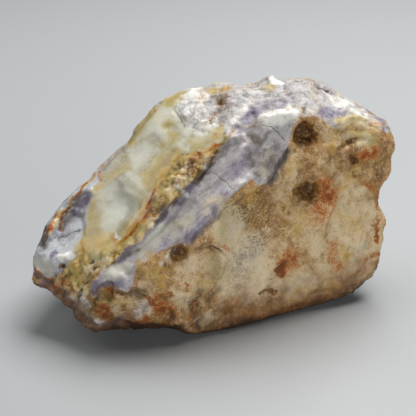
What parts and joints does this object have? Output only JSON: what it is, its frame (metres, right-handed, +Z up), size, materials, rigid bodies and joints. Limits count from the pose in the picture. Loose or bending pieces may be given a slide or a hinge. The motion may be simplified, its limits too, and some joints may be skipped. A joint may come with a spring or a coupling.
{
  "type": "rough opal",
  "caption": "Broken lump of rough opal with milky, lavender and brown bands under a pitted tan rind, standing on a small flat.",
  "frame": {"origin": "centre of the stone's box, on the flat it rests on", "axes": "+X along the stone's length, -Y its show side, +Z up from the resting flat"},
  "size_m": [0.0992, 0.064, 0.0587],
  "materials": {
    "opal": "natural rough rind with glassy, slightly wet broken faces"
  },
  "bodies": {
    "root": {"rough_opal": "opal"}
  },
  "joints": []
}
